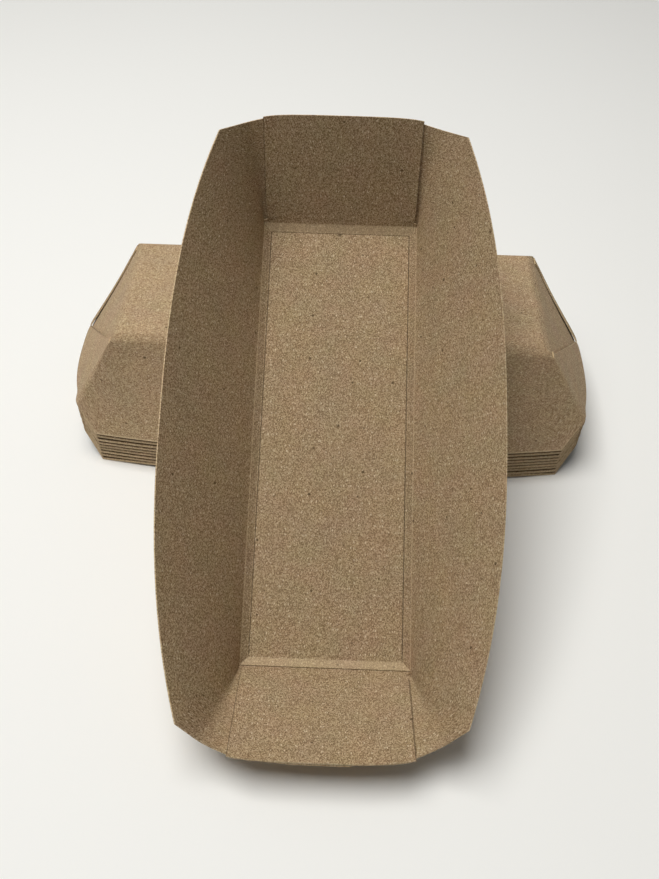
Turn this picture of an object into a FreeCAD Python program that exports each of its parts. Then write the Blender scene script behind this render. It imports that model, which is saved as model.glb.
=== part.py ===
"""Stack of folded paperboard trays: nine nested upside down, one leaning on them.

Units are millimetres. The stack's long axis is X, its front is -Y, up is +Z.
Each tray is one folded sheet: a base, a narrow scored band round it, two tall
side walls with a high rim, and two end panels. A gusset at each corner carries
the side wall round a diagonal crease and lies glued on the end panel's outside,
so an end is two boards thick apart from the open triangle between its gussets.
"""
import FreeCAD
import Part
import math
import os
import Sketcher

Vector = FreeCAD.Vector
Rotation = FreeCAD.Rotation
Placement = FreeCAD.Placement

# Driving dimensions, in millimetres and degrees
SIZES = [
    ("board", 0.4, "thickness of the paperboard"),
    ("base_length", 131.6, "base between its end scores, outside"),
    ("base_width", 44.6, "base between its side scores, outside"),
    ("band_end", 2.3, "width of the scored band at an end"),
    ("band_side", 2.2, "width of the scored band at a side"),
    ("band_rise", 1.7, "height of the scored band"),
    ("rim_height", 32.6, "height of a side rim at its middle"),
    ("rim_flat", 36.0, "straight stretch of a side rim"),
    ("end_rim_height", 27.8, "height of an end rim at its middle"),
    ("gusset_tip_gap", 2.0, "gap between the two gusset tips of one end"),
    ("nested_end_angle", 36.2, "lean of a nested tray's end panel from upright"),
    ("nested_middle_angle", 32.6, "lean of a nested tray's side wall at its middle"),
    ("nested_corner_angle", 17.6, "lean of a nested tray's side wall at a corner"),
    ("nested_rim_end_height", 32.2, "height of a nested tray's side rim where its curve ends"),
    ("nested_rim_end_reach", 76.5, "distance of that point from the tray's middle"),
    ("nested_corner_height", 23.1, "height of a nested tray's rim at a corner crease"),
    ("sprung_end_angle", 39.2, "lean of the leaning tray's end panel from upright"),
    ("sprung_middle_angle", 34.5, "lean of the leaning tray's side wall at its middle"),
    ("sprung_corner_angle", 11.0, "lean of the leaning tray's side wall at a corner"),
    ("sprung_rim_end_height", 32.5, "height of the leaning tray's side rim where its curve ends"),
    ("sprung_rim_end_reach", 80.0, "distance of that point from the tray's middle"),
    ("sprung_corner_height", 24.8, "height of the leaning tray's rim at a corner crease"),
    ("nest_play", 0.05, "free gap between two nested walls"),
    ("lean_angle", 27.6, "slope of the leaning tray"),
    ("lean_shift", 1.65, "leaning tray's place to the right of the stack's middle"),
    ("lean_gap", 0.05, "free gap between the leaning tray and the stack's edge"),
]
NESTED_COUNT = 9

# Shares of one board by which the inner face of a fold is set in and lifted
INNER_BASE_SHARE = 0.33
INNER_FOLD_SHARE = 0.65
# Cutting tools pass the board by this much
CLEAR = 6.0
# The uncut walls stand this much above the side rims
SPARE_WALL = 3.0
# The side rims end this many boards inside the corner crease
CREASE_BOARDS = 4

# Formulas shared by the features, written for the sheet
HALF_LENGTH = "Sizes.base_length / 2"
HALF_WIDTH = "Sizes.base_width / 2"
BAND_REACH = "(Sizes.base_length / 2 + Sizes.band_end)"
BAND_HALF_WIDTH = "(Sizes.base_width / 2 + Sizes.band_side)"
BLANK_TOP = "(Sizes.rim_height + %g)" % SPARE_WALL


def make_sheet(doc):
    """Put the driving dimensions in a sheet, one named cell each."""
    sheet = doc.addObject("Spreadsheet::Sheet", "Sizes")
    for row, (alias, value, meaning) in enumerate(SIZES, start=1):
        sheet.set("A%d" % row, meaning)
        sheet.set("B%d" % row, str(value))
        sheet.setAlias("B%d" % row, alias)
    doc.recompute()
    return sheet


def form_formulas(form):
    """The formulas that differ between the nested and the sprung form of the tray."""
    end_angle = "Sizes.%s_end_angle" % form
    corner_angle = "Sizes.%s_corner_angle" % form
    corner_height = "Sizes.%s_corner_height" % form
    corner = "%s + (%s - Sizes.band_rise) * tan(%s)" % (BAND_HALF_WIDTH, corner_height, corner_angle)
    return {
        "end_angle": end_angle,
        "middle_angle": "Sizes.%s_middle_angle" % form,
        "corner_angle": corner_angle,
        "corner_height": corner_height,
        "rim_end_height": "Sizes.%s_rim_end_height" % form,
        "rim_end_reach": "Sizes.%s_rim_end_reach" % form,
        "skew_board": "Sizes.board / cos(%s)" % end_angle,
        # Half width at which the side rims end and the end rims begin
        "rim_inset": "(%s - %d * Sizes.board)" % (corner, CREASE_BOARDS),
    }


def origin_plane(body, role):
    """The body's own origin plane of that role."""
    return next(item for item in body.Origin.OriginFeatures if item.Role == role)


def add_sketch(body, name, role, offsets, tilt=None):
    """A sketch on one of the body's origin planes.

    offsets gives formulas for the attachment offset, by axis letter, and tilt a
    formula for its turn about the sketch's own X axis.
    """
    sketch = body.newObject("Sketcher::SketchObject", name)
    sketch.AttachmentSupport = [(origin_plane(body, role), "")]
    sketch.MapMode = "FlatFace"
    if tilt:
        sketch.AttachmentOffset = Placement(Vector(), Rotation(Vector(1, 0, 0), 1))
        sketch.setExpression("AttachmentOffset.Rotation.Angle", tilt)
    for axis, formula in offsets.items():
        sketch.setExpression("AttachmentOffset.Base.%s" % axis, formula)
    return sketch


def evaluate(sketch, point):
    """The vector at the two formulas in point."""
    across, up = (float(sketch.evalExpression(formula)) for formula in point)
    return Vector(across, up, 0)


def pin_point(sketch, item, end, point):
    """Hold one point of a sketch at the two formulas in point."""
    value = evaluate(sketch, point)
    for kind, formula, distance in zip(("DistanceX", "DistanceY"), point, value):
        held = sketch.addConstraint(Sketcher.Constraint(kind, -1, 1, item, end, distance))
        sketch.setExpression("Constraints[%d]" % held, formula)


def draw_outline(sketch, corners, bulges=None):
    """Draw a closed outline through the corners.

    corners is a list of pairs of formulas. bulges maps the number of a side to
    a point that it passes through on its way, which makes that side an arc.
    """
    bulges = bulges or {}
    count = len(corners)
    points = [evaluate(sketch, corner) for corner in corners]
    ends = []
    for number in range(count):
        start, stop = points[number], points[(number + 1) % count]
        if number in bulges:
            through = evaluate(sketch, bulges[number])
            # A sketch holds every arc anticlockwise, so a clockwise one runs from stop to start
            if (through - start).cross(stop - through).z > 0:
                item = sketch.addGeometry(Part.Arc(start, through, stop), False)
                ends.append((item, 1, 2))
            else:
                item = sketch.addGeometry(Part.Arc(stop, through, start), False)
                ends.append((item, 2, 1))
            passing = sketch.addGeometry(Part.Point(through), True)
            sketch.addConstraint(Sketcher.Constraint("PointOnObject", passing, 1, item))
            pin_point(sketch, passing, 1, bulges[number])
        else:
            item = sketch.addGeometry(Part.LineSegment(start, stop), False)
            ends.append((item, 1, 2))
    for number in range(count):
        item, _, last = ends[number]
        following, first, _ = ends[(number + 1) % count]
        sketch.addConstraint(Sketcher.Constraint("Coincident", item, last, following, first))
        pin_point(sketch, following, first, corners[(number + 1) % count])


def mirrored(formula):
    """The same formula with its sign changed."""
    return "-(%s)" % formula


def draw_section(sketch, half_length, half_width, half_middle=None):
    """Draw a tray's level outline, its long sides bowed out where half_middle is given."""
    corners = [
        (half_length, mirrored(half_width)),
        (half_length, half_width),
        (mirrored(half_length), half_width),
        (mirrored(half_length), mirrored(half_width)),
    ]
    bulges = None
    if half_middle:
        bulges = {1: ("0", half_middle), 3: ("0", mirrored(half_middle))}
    draw_outline(sketch, corners, bulges)


def add_loft(body, kind, name, sections):
    """A ruled loft through the sections, added or taken away."""
    loft = body.newObject(kind, name)
    loft.Profile = sections[0]
    loft.Sections = sections[1:]
    loft.Ruled = True
    return loft


def add_outside(body, name, form):
    """The solid inside the tray's outermost faces, taller than any rim."""
    rise = "(%s - Sizes.band_rise)" % BLANK_TOP
    reach = "%s + %s" % (BAND_REACH, form["skew_board"])
    bottom = add_sketch(body, name + "OutsideBase", "XY_Plane", {})
    draw_section(bottom, HALF_LENGTH, HALF_WIDTH)
    fold = add_sketch(body, name + "OutsideFold", "XY_Plane", {"z": "Sizes.band_rise"})
    draw_section(fold, reach, BAND_HALF_WIDTH)
    top = add_sketch(body, name + "OutsideTop", "XY_Plane", {"z": BLANK_TOP})
    draw_section(
        top,
        "%s + %s * tan(%s)" % (reach, rise, form["end_angle"]),
        "%s + %s * tan(%s)" % (BAND_HALF_WIDTH, rise, form["corner_angle"]),
        "%s + %s * tan(%s)" % (BAND_HALF_WIDTH, rise, form["middle_angle"]),
    )
    return add_loft(body, "PartDesign::AdditiveLoft", name + "Outside", [bottom, fold, top])


def add_cavity(body, name, form):
    """Take the inside away, so that one board is left at the base and the sides."""
    end_angle, middle_angle, corner_angle = (form[key] for key in ("end_angle", "middle_angle", "corner_angle"))
    lift = "(Sizes.board * %g)" % INNER_FOLD_SHARE
    inset = "Sizes.board * %g" % INNER_BASE_SHARE
    rise = "(%s - Sizes.band_rise)" % BLANK_TOP
    mean_angle = "((%s + %s) / 2)" % (middle_angle, corner_angle)
    bottom = add_sketch(body, name + "InsideBase", "XY_Plane", {"z": "Sizes.board"})
    draw_section(bottom, "%s - %s" % (HALF_LENGTH, inset), "%s - %s" % (HALF_WIDTH, inset))
    fold = add_sketch(body, name + "InsideFold", "XY_Plane", {"z": "Sizes.band_rise + %s" % lift})
    draw_section(
        fold,
        "%s + %s * tan(%s) - %s" % (BAND_REACH, lift, end_angle, form["skew_board"]),
        "%s + %s * tan(%s) - Sizes.board / cos(%s)" % (BAND_HALF_WIDTH, lift, mean_angle, mean_angle),
    )
    top = add_sketch(body, name + "InsideTop", "XY_Plane", {"z": BLANK_TOP})
    draw_section(
        top,
        "%s + %s * tan(%s) - %s" % (BAND_REACH, rise, end_angle, form["skew_board"]),
        "%s + %s * tan(%s) - Sizes.board / cos(%s)" % (BAND_HALF_WIDTH, rise, corner_angle, corner_angle),
        "%s + %s * tan(%s) - Sizes.board / cos(%s)" % (BAND_HALF_WIDTH, rise, middle_angle, middle_angle),
    )
    return add_loft(body, "PartDesign::SubtractiveLoft", name + "Inside", [bottom, fold, top])


def add_mirror(body, name, original, role):
    """Repeat a cut on the other side of one of the body's origin planes."""
    mirror = body.newObject("PartDesign::Mirrored", name)
    mirror.Originals = [original]
    mirror.MirrorPlane = (origin_plane(body, role), [""])
    body.Tip = mirror
    return mirror


def add_end_windows(body, name, form):
    """Open the outer board of each end between the two gussets.

    The outline lies on the end panel's outer face. Each gusset's free edge runs
    from the base corner to its tip, beside the middle of the end rim.
    """
    window = add_sketch(
        body,
        name + "WindowOutline",
        "YZ_Plane",
        {"y": "Sizes.band_rise", "z": BAND_REACH},
        tilt="%s * 1deg" % form["end_angle"],
    )
    slope_height = "((Sizes.end_rim_height - Sizes.band_rise) / cos(%s))" % form["end_angle"]
    above = "%s + %g" % (slope_height, CLEAR)
    below = "-%g" % CLEAR
    tip = "Sizes.gusset_tip_gap / 2"
    corners = [
        (BAND_HALF_WIDTH, below),
        (BAND_HALF_WIDTH, "0"),
        (tip, slope_height),
        (tip, above),
        (mirrored(tip), above),
        (mirrored(tip), slope_height),
        (mirrored(BAND_HALF_WIDTH), "0"),
        (mirrored(BAND_HALF_WIDTH), below),
    ]
    draw_outline(window, corners)
    body.Document.recompute()
    cut = body.newObject("PartDesign::Pocket", name + "Window")
    cut.Profile = window
    cut.Reversed = True
    cut.Length = CLEAR
    body.Document.recompute()
    return add_mirror(body, name + "Windows", cut, "YZ_Plane")


def add_end_rims(body, name, form):
    """Cut both end rims to their low arc."""
    half, corner_height = form["rim_inset"], form["corner_height"]
    above = "Sizes.rim_height + %g" % CLEAR
    outline = add_sketch(body, name + "EndRimOutline", "YZ_Plane", {})
    corners = [
        (half, corner_height),
        (half, above),
        (mirrored(half), above),
        (mirrored(half), corner_height),
    ]
    draw_outline(outline, corners, {3: ("0", "Sizes.end_rim_height")})
    body.Document.recompute()
    cut = body.newObject("PartDesign::Pocket", name + "EndRims")
    cut.Profile = outline
    cut.Type = "ThroughAll"
    cut.SideType = "Symmetric"
    return cut


def add_side_rims(body, name, form):
    """Cut both side rims: straight, then an arc, then oblique to the corner crease."""
    outline = add_sketch(body, name + "SideRimOutline", "XZ_Plane", {"z": form["rim_inset"]})
    corner_height, end_height, end_reach = (form[key] for key in ("corner_height", "rim_end_height", "rim_end_reach"))
    far = "Sizes.base_length"
    above = "Sizes.rim_height + %g" % CLEAR
    crease_run = "(%s - Sizes.band_rise) * tan(%s)" % (corner_height, form["end_angle"])
    reach = "%s + %s + %s" % (BAND_REACH, form["skew_board"], crease_run)
    flat = "Sizes.rim_flat / 2"
    # A quarter of the drop is reached halfway along an arc that leaves the flat tangent to it
    halfway = "((%s + Sizes.rim_flat / 2) / 2)" % end_reach
    quarter = "Sizes.rim_height - (Sizes.rim_height - %s) / 4" % end_height
    corners = [
        (flat, "Sizes.rim_height"),
        (end_reach, end_height),
        (reach, corner_height),
        (far, corner_height),
        (far, above),
        (mirrored(far), above),
        (mirrored(far), corner_height),
        (mirrored(reach), corner_height),
        (mirrored(end_reach), end_height),
        (mirrored(flat), "Sizes.rim_height"),
    ]
    draw_outline(outline, corners, {0: (halfway, quarter), 8: (mirrored(halfway), quarter)})
    body.Document.recompute()
    cut = body.newObject("PartDesign::Pocket", name + "SideRim")
    cut.Profile = outline
    cut.Reversed = True
    cut.Type = "ThroughAll"
    body.Document.recompute()
    return add_mirror(body, name + "SideRims", cut, "XZ_Plane")


def make_tray(doc, name, form):
    """One tray, standing on its base with its open side up."""
    body = doc.addObject("PartDesign::Body", name)
    add_outside(body, name, form)
    add_cavity(body, name, form)
    doc.recompute()
    add_end_windows(body, name, form)
    add_end_rims(body, name, form)
    doc.recompute()
    add_side_rims(body, name, form)
    doc.recompute()
    return body


def place_copy(doc, tray, label, placement):
    """A sub-part of its own with the tray's shape, at its place."""
    copy = doc.addObject("Part::Feature", label)
    copy.Label = label
    copy.Shape = tray.Shape.copy()
    copy.Placement = placement
    return copy


def nest_pitch(sheet):
    """Height from one nested tray to the next: the walls lie on each other.

    A wall that leans by an angle moves off its neighbour by the pitch times the
    sine of that angle. The ends are two boards thick and the sides one, but the
    sides are steeper, so the larger of the two lifts counts.
    """
    end_sine = math.sin(math.radians(sheet.nested_end_angle))
    side_sine = math.sin(math.radians(sheet.nested_corner_angle))
    end_pitch = (2 * sheet.board + sheet.nest_play) / end_sine
    side_pitch = (sheet.board + sheet.nest_play) / side_sine
    return max(end_pitch, side_pitch)


def leaning_placement(sheet, stack_height):
    """Place of the leaning tray, with the stack's middle at the origin.

    Its near base edge is on the table and its underside on the front edge of
    the stack's top. Its length runs back and up, its open side faces forward.
    """
    slope = math.radians(sheet.lean_angle)
    centre_height = sheet.base_length / 2 * math.sin(slope)
    lift = sheet.lean_gap / math.cos(slope)
    drop = stack_height + lift - centre_height
    centre_y = -sheet.base_width / 2 - drop / math.tan(slope)
    along = Vector(0, math.cos(slope), math.sin(slope))
    across = Vector(-1, 0, 0)
    out = Vector(0, -math.sin(slope), math.cos(slope))
    matrix = FreeCAD.Matrix(
        along.x, across.x, out.x, sheet.lean_shift,
        along.y, across.y, out.y, centre_y,
        along.z, across.z, out.z, centre_height,
        0, 0, 0, 1,
    )
    return Placement(matrix)


def check_document(doc):
    """Stop if any object failed to build."""
    for item in doc.Objects:
        if "Invalid" in item.State or "Error" in item.State:
            raise RuntimeError("%s failed: %s" % (item.Name, item.State))


def write_parts(parts):
    """Write each sub-part to its own file, named by its label."""
    os.makedirs("parts", exist_ok=True)
    for part in parts:
        shape = part.Shape
        if shape.isNull() or not shape.isValid() or len(shape.Solids) != 1:
            raise RuntimeError("%s has no single valid solid" % part.Label)
    for part in parts:
        part.Shape.exportStep("parts/%s.step" % part.Label)
        print("%s %.1f mm3" % (part.Label, part.Shape.Volume))


def main():
    """Build both forms of the tray, set out the copies and write them."""
    doc = FreeCAD.newDocument("TrayStack")
    sheet = make_sheet(doc)
    nested = make_tray(doc, "NestedTray", form_formulas("nested"))
    sprung = make_tray(doc, "SprungTray", form_formulas("sprung"))
    check_document(doc)

    pitch = nest_pitch(sheet)
    stack_height = sheet.rim_height + (NESTED_COUNT - 1) * pitch
    upside_down = Rotation(Vector(1, 0, 0), 180)
    parts = []
    for number in range(NESTED_COUNT):
        base_height = sheet.rim_height + number * pitch
        place = Placement(Vector(0, 0, base_height), upside_down)
        parts.append(place_copy(doc, nested, "nested_tray_%d" % (number + 1), place))
    parts.append(place_copy(doc, sprung, "leaning_tray", leaning_placement(sheet, stack_height)))
    doc.recompute()

    # The origin is at the middle of the whole group's box, on the table
    box = FreeCAD.BoundBox()
    for part in parts:
        box.add(part.Shape.optimalBoundingBox(True, False))
    for part in parts:
        part.Placement.Base = part.Placement.Base - Vector(box.Center.x, box.Center.y, 0)
    doc.recompute()
    check_document(doc)
    print("box %s, nest pitch %.3f, stack height %.2f" % (box, pitch, stack_height))
    write_parts(parts)


main()
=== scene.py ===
"""Stack of folded kraft paperboard food trays: nine nested upside down, one leaning across them.

Sizes are millimetres and are turned to metres when a mesh is made. Each tray is
worked out on its own axes first: x along it, y across it, z up from the underside
of its base, open side up. It is then turned and set in its place.
"""
from __future__ import annotations

import logging
import math
from dataclasses import dataclass, replace
from enum import Enum

import bpy
import numpy as np
from mathutils import Matrix

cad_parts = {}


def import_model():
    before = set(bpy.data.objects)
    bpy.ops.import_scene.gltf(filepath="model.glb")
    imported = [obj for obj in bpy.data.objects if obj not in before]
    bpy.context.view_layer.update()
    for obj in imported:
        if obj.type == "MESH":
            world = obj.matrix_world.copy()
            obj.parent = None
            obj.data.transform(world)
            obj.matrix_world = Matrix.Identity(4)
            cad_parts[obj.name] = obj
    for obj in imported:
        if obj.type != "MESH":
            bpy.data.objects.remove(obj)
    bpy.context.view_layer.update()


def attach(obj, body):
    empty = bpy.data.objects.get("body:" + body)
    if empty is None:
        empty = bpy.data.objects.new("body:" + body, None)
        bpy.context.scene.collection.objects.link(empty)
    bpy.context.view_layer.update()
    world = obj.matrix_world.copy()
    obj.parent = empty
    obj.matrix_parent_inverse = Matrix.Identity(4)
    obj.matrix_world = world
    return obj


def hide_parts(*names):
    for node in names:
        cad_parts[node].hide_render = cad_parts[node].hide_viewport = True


LOG = logging.getLogger("tray_stack")
MM = 0.001


class BoardPart(Enum):
    """Material slot of a tray's mesh."""

    OUTER_FACE = 0
    CUT_EDGE = 1
    INNER_FACE = 2


def linear(hex_colour: str) -> tuple[float, float, float, float]:
    """Turn an sRGB hex colour into linear red, green, blue and alpha.

    Args:
        hex_colour: six hex digits with a leading hash.

    Returns:
        Four numbers, with alpha 1.
    """
    parts = np.array([int(hex_colour[place : place + 2], 16) for place in (1, 3, 5)]) / 255
    low, high = parts / 12.92, ((parts + 0.055) / 1.055) ** 2.4
    return (*np.where(parts <= 0.04045, low, high).tolist(), 1.0)


def add_node(tree: bpy.types.NodeTree, kind: str, inputs: dict | None = None, **settings) -> bpy.types.Node:
    """Add a node, set its properties, and fill or link its inputs.

    Args:
        tree: node tree that gets the node.
        kind: node type, without the ShaderNode that Blender's names begin with.
        inputs: input names or numbers, each with a value, an output, or a node for its first output.
        settings: the node's properties.

    Returns:
        The new node.
    """
    node = tree.nodes.new("ShaderNode" + kind)
    for name, value in settings.items():
        setattr(node, name, value)
    for name, value in (inputs or {}).items():
        if isinstance(value, bpy.types.Node):
            value = value.outputs[0]
        if isinstance(value, bpy.types.NodeSocket):
            tree.links.new(value, node.inputs[name])
        else:
            node.inputs[name].default_value = value
    return node


def empty_tree(owner: bpy.types.Material | bpy.types.World) -> bpy.types.NodeTree:
    """Take a new material's or world's own nodes out of its node tree.

    Args:
        owner: the material or world.

    Returns:
        Its empty node tree.
    """
    owner.use_nodes = True
    owner.node_tree.nodes.clear()
    return owner.node_tree


def add_object(name: str, data: bpy.types.ID) -> bpy.types.Object:
    """Make an object and put it in the scene.

    Args:
        name: name of the object.
        data: its mesh, camera or lamp.

    Returns:
        The object.
    """
    thing = bpy.data.objects.new(name, data)
    bpy.context.scene.collection.objects.link(thing)
    return thing


def aim(right: np.ndarray, back: np.ndarray, place: np.ndarray) -> Matrix:
    """Set a camera or lamp in its place.

    Args:
        right: direction of its right side.
        back: direction of its back.
        place: its place, in metres.

    Returns:
        Its matrix.
    """
    matrix = np.eye(4)
    matrix[:3, :3] = np.stack([right, np.cross(back, right), back], axis=-1)
    matrix[:3, 3] = place
    return Matrix(matrix.tolist())


def quadratic_bend(first: np.ndarray, corner: np.ndarray, last: np.ndarray, steps: np.ndarray) -> np.ndarray:
    """Round a corner with a quadratic Bezier curve: (1-t)^2 first + 2t(1-t) corner + t^2 last.

    Args:
        first: points where the bend begins, any leading shape, last axis xyz.
        corner: the sharp corner's points.
        last: points where the bend ends.
        steps: parameters from 0 to 1.

    Returns:
        Points with a new axis for the steps before the last one.
    """
    t = steps[:, None]
    first, corner, last = (array[..., None, :] for array in (first, corner, last))
    return (1 - t) ** 2 * first + 2 * t * (1 - t) * corner + t**2 * last


@dataclass
class Patch:
    """A grid of points on the outer face of the sheet.

    Attributes:
        points: rows by columns by xyz, in mm.
        blank: rows by columns by two, the place of each point on the flat blank, in mm.
        outward: a direction that points out of the tray at the patch.
        painted_light_shade: rows by columns, from -1 for painted shade to 1 for painted highlight, else 0, at
            scores, rims and cut edges.
        painted_gap_shade: rows by columns, painted shade for the dark gap behind a loose gusset: 1 on the
            outer face, -1 on the inner face, else 0.
    """

    points: np.ndarray
    blank: np.ndarray
    outward: tuple[float, float, float]
    painted_light_shade: np.ndarray | None = None
    painted_gap_shade: np.ndarray | None = None

    def faces(self, first: int) -> np.ndarray:
        """Quads of the grid, turned so that they face outward.

        Args:
            first: number of the patch's first point.

        Returns:
            Quads by four corner numbers.
        """
        rows, columns = self.points.shape[:2]
        number = first + np.arange(rows * columns).reshape(rows, columns)
        loops = [number[:-1, :-1], number[:-1, 1:], number[1:, 1:], number[1:, :-1]]
        quads = np.stack(loops, axis=-1).reshape(-1, 4)
        along = self.points[1:, 1:] - self.points[:-1, :-1]
        across = self.points[1:, :-1] - self.points[:-1, 1:]
        facing = np.cross(along, across).sum(axis=(0, 1)) @ np.array(self.outward)
        return quads if facing > 0 else quads[:, ::-1]

    def reflected(self, sign_x: float, sign_y: float) -> "Patch":
        """The same patch on another side of the tray.

        Args:
            sign_x: 1 or -1, the factor for x.
            sign_y: 1 or -1, the factor for y.

        Returns:
            A new patch.
        """
        signs = np.array([sign_x, sign_y, 1.0])
        outward = tuple(np.array(self.outward) * signs)
        return Patch(self.points * signs, self.blank * signs[:2], outward, self.painted_light_shade, self.painted_gap_shade)


@dataclass
class SheetMesh:
    """Joins patches into one sheet and gives it the board's thickness.

    Attributes:
        board: thickness in mm.
        patches: the outer face's patches.
        steps_per_mm: points that round to the same step of this grid are merged.
        crisp_angle: degrees from which two faces are shaded with an edge between them.
    """

    board: float
    patches: list[Patch]
    steps_per_mm: float = 500.0
    crisp_angle: float = 48.0

    def build(self, name: str, placement: np.ndarray, blank_shift: tuple[float, float]) -> bpy.types.Object:
        """Make the object: merge the patches' shared points, place them and thicken the sheet inwards.

        Args:
            name: name of the object.
            placement: four by four matrix from the tray's axes to the world, in mm.
            blank_shift: shift of the pattern on this tray's blank, in mm.

        Returns:
            A mesh object with its place in its mesh.
        """
        points = np.concatenate([patch.points.reshape(-1, 3) for patch in self.patches])
        blank = np.concatenate([patch.blank.reshape(-1, 2) for patch in self.patches])
        firsts = np.cumsum([0] + [patch.points.shape[0] * patch.points.shape[1] for patch in self.patches])
        corners = np.concatenate([patch.faces(first) for patch, first in zip(self.patches, firsts)])
        keys = np.round(points * self.steps_per_mm).astype(np.int64)
        _, kept, merged = np.unique(keys, axis=0, return_index=True, return_inverse=True)
        merged = merged.reshape(-1)
        quads = merged[corners]
        whole = np.array([len(set(quad)) == 4 for quad in quads.tolist()])
        quads, corners = quads[whole], corners[whole]
        world = points[kept] @ placement[:3, :3].T + placement[:3, 3]

        mesh = bpy.data.meshes.new(name)
        mesh.from_pydata((world * MM).tolist(), [], quads.tolist())
        uv = mesh.uv_layers.new(name="blank")
        places = (blank[corners.reshape(-1)] + blank_shift) * MM
        uv.data.foreach_set("uv", places.astype(np.float32).reshape(-1))
        for title in ("painted_light_shade", "painted_gap_shade"):
            values = [getattr(patch, title) for patch in self.patches]
            values = [np.zeros(p.points.shape[:2]) if v is None else v for p, v in zip(self.patches, values)]
            mark = np.zeros(len(kept), dtype=np.float32)
            mark[merged] = np.concatenate([value.reshape(-1) for value in values])
            mesh.attributes.new(title, "FLOAT", "POINT").data.foreach_set("value", mark)
        return self.thicken(name, mesh)

    def thicken(self, name: str, mesh: bpy.types.Mesh) -> bpy.types.Object:
        """Give the sheet its thickness with Solidify, applied, and a material slot for each part.

        Args:
            name: name of the object.
            mesh: the sheet's outer face.

        Returns:
            The object.
        """
        draft = add_object(name + "_draft", mesh)
        solid = draft.modifiers.new("board", "SOLIDIFY")
        solid.thickness = self.board * MM
        solid.offset = -1.0
        solid.use_even_offset = True
        solid.use_rim = True
        solid.material_offset = BoardPart.INNER_FACE.value
        solid.material_offset_rim = BoardPart.CUT_EDGE.value
        for _ in BoardPart:
            mesh.materials.append(None)
        bpy.context.view_layer.update()
        finished = bpy.data.meshes.new_from_object(draft.evaluated_get(bpy.context.evaluated_depsgraph_get()))
        finished.name = name
        bpy.data.objects.remove(draft)
        finished.polygons.foreach_set("use_smooth", np.ones(len(finished.polygons), dtype=bool))
        finished.set_sharp_from_angle(angle=math.radians(self.crisp_angle))
        return add_object(name, finished)


@dataclass(frozen=True)
class Gusset:
    """Cut and fit of one corner gusset, which is glued to the end panel's outer face.

    Across is measured from the tray's middle line towards the gusset's own corner, so a
    tip that has passed the middle has a negative value. All lengths are in mm.

    Attributes:
        shoulder_across: where the upper edge ends and the short end cut begins.
        tip_across: where the end cut meets the free edge that runs down to the corner's foot.
        tip_height: height of that point.
        rise_over: how far the upper edge passes the end panel's rim, at the shoulder.
        stand_off: gap between panel and tip, of a gusset that has come unglued.
        step: one board's thickness where this gusset lies over the other one.
        edge_light_shade: painted shade, below 0, or painted highlight, above 0, along its free edge.
    """

    shoulder_across: float = 1.4
    tip_across: float = 1.0
    tip_height: float = 27.0
    rise_over: float = -0.3
    stand_off: float = 0.04
    step: float = 0.0
    edge_light_shade: float = 0.0

    @property
    def unglued(self) -> bool:
        """Whether its glue has torn: it stands off by more than a board's thickness."""
        return self.stand_off > 0.4


@dataclass(frozen=True)
class CornerForm:
    """How far one corner has sprung. Angles are degrees from upright, lengths mm.

    Attributes:
        angle: lean of the side wall at the corner crease.
        lean: lean of the end panel at the corner.
        tip_height: height of the crease's upper end.
        rim_reach: distance from the tray's middle at which the rim turns into the short oblique cut.
        rim_height: height of that point.
        fold_radius: size of the soft fold at the crease's upper end.
        gusset: the corner's gusset.
    """

    angle: float
    lean: float
    tip_height: float
    rim_reach: float
    rim_height: float
    fold_radius: float = 2.4
    gusset: Gusset = Gusset()


@dataclass(frozen=True)
class SideForm:
    """Form of one long wall.

    Attributes:
        middle_angle: lean of the wall in its middle, degrees from upright.
        bow_power: how late the wall's lean falls off towards the corners.
        corners: the corners at the +x and the -x end.
        rim_middle: height of the rim in its middle, in mm.
    """

    middle_angle: float
    bow_power: float
    corners: tuple[CornerForm, CornerForm]
    rim_middle: float = 32.6

    def at(self, along: np.ndarray, name: str) -> np.ndarray:
        """A corner's size for each place along the side: the +x corner's or the -x corner's."""
        first, second = (getattr(corner, name) for corner in self.corners)
        return np.where(np.asarray(along) >= 0, first, second)


@dataclass(frozen=True)
class TrayForm:
    """Form of one tray: its end panels' lean, its +y and -y sides and its painted shade and highlight lines.

    Attributes:
        end_angle: lean of the end panels in their middle, degrees from upright.
        sides: the +y and the -y side.
        score_light_shade: how strongly the painted shade and highlight lines at scores and end panel edges
            show, 0 to 1.
        rim_light: how strongly a highlight is painted along the rim, 0 to 1.
        rim_shade: how dark a shadow line is painted just under where the next tray's rim overhangs, 0 to 1.
        score_bend: how far a fold reaches on either side of its score, in mm.
        panel_corner_height: height of the end panel's upper corners, in mm.
        edge_curl: how far the end panel's side edges have come away from the gussets, in mm.
        gusset_arc: power of the gusset's upper edge; a high one keeps it level for longer.
    """

    end_angle: float
    sides: tuple[SideForm, SideForm]
    score_light_shade: float = 0.0
    rim_light: float = 0.0
    rim_shade: float = 0.0
    score_bend: float = 1.1
    panel_corner_height: float = 26.0
    edge_curl: float = 0.0
    gusset_arc: float = 2.2


@dataclass(frozen=True)
class TrayBlank:
    """Sizes that all trays share, in mm, on the outer faces of the board."""

    board: float = 0.4
    half_length: float = 65.8
    half_width: float = 22.3
    band_end: float = 2.3
    band_side: float = 2.2
    band_rise: float = 1.7
    rim_flat: float = 18.0
    end_rim_height: float = 27.8
    panel_half: float = 23.6

    @property
    def band_reach(self) -> float:
        """Distance of the end panel's foot from the tray's middle."""
        return self.half_length + self.band_end

    @property
    def band_half(self) -> float:
        """Half width at the foot of the side walls."""
        return self.half_width + self.band_side


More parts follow.
